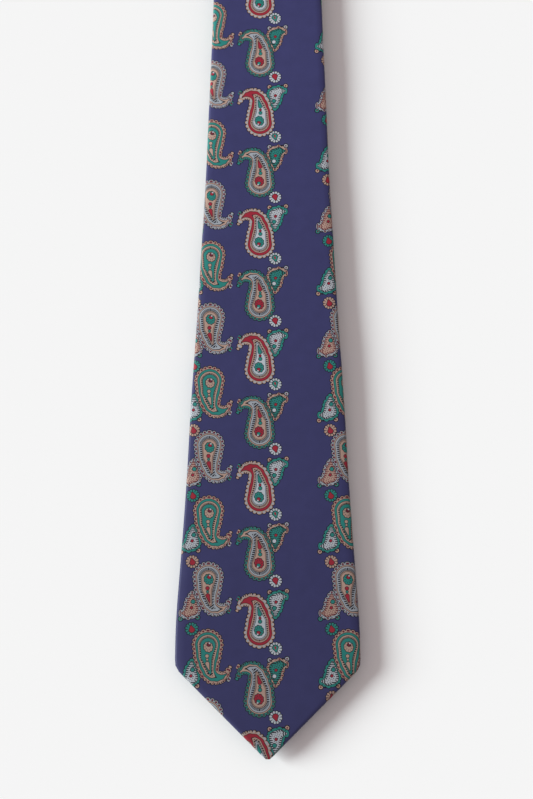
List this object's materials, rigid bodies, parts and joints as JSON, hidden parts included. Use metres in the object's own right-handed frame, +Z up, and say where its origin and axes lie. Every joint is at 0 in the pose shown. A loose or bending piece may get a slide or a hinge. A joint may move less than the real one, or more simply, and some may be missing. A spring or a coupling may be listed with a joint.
{
  "type": "necktie",
  "caption": "Printed silk necktie folded at the neck and laid flat, with interlining, lining, keeper loop and blank label; its front blade lifts, curls and unfolds.",
  "frame": {"origin": "bottom centre of the folded tie, on the face of the tail that lies on the table", "axes": "+Z up from the table, X across the blades, Y along them with the front blade's point at -Y and the fold at the neck at +Y"},
  "size_m": [0.09, 0.76, 0.009],
  "materials": {
    "printed_silk": "twill-woven printed silk with a soft sheen",
    "wool_interlining": "brushed, matt",
    "lining_satin": "satin",
    "label_weave": "damask weave, blank",
    "care_tape": "woven tape, blank",
    "sewing_thread": "twisted silk thread"
  },
  "bodies": {
    "tail": {"tail_shell": "printed_silk", "tail_tipping": "lining_satin", "tail_interlining": "wool_interlining", "tail_bar_tack": "sewing_thread", "tail_slip_stitches": "sewing_thread", "tail_join_thread": "sewing_thread", "neck_shell_tail": "printed_silk"},
    "front_upper": {"front_upper_shell": "printed_silk", "front_upper_interlining": "wool_interlining", "front_upper_slip_stitches": "sewing_thread", "front_join_thread": "sewing_thread", "neck_shell_front": "printed_silk"},
    "front_mid": {"front_mid_shell": "printed_silk", "front_mid_interlining": "wool_interlining", "front_mid_slip_stitches": "sewing_thread"},
    "front_lower": {"front_lower_shell": "printed_silk", "front_lower_interlining": "wool_interlining", "front_lower_slip_stitches": "sewing_thread", "keeper_band": "printed_silk", "keeper_end_left": "printed_silk", "keeper_end_right": "printed_silk", "keeper_tacks": "sewing_thread", "label": "label_weave", "label_stitches": "sewing_thread", "care_tag": "care_tape"},
    "front_tip": {"front_tip_shell": "printed_silk", "front_tipping": "lining_satin", "front_tip_interlining": "wool_interlining", "front_bar_tack": "sewing_thread", "front_tip_slip_stitches": "sewing_thread"}
  },
  "joints": [
    {"name": "neck_fold_hinge", "type": "hinge", "parent": "tail", "child": "front_upper", "pos_m": [0, 0.38, 0.0045], "axis": [-1, 0, 0], "range_deg": [0, 180]},
    {"name": "upper_bend", "type": "hinge", "parent": "front_upper", "child": "front_mid", "pos_m": [0, 0.17409, 0.009], "axis": [-1, 0, 0], "range_deg": [0, 90]},
    {"name": "middle_bend", "type": "hinge", "parent": "front_mid", "child": "front_lower", "pos_m": [0, -0.02591, 0.009], "axis": [-1, 0, 0], "range_deg": [0, 90]},
    {"name": "lower_bend", "type": "hinge", "parent": "front_lower", "child": "front_tip", "pos_m": [0, -0.21591, 0.009], "axis": [-1, 0, 0], "range_deg": [0, 90]}
  ]
}
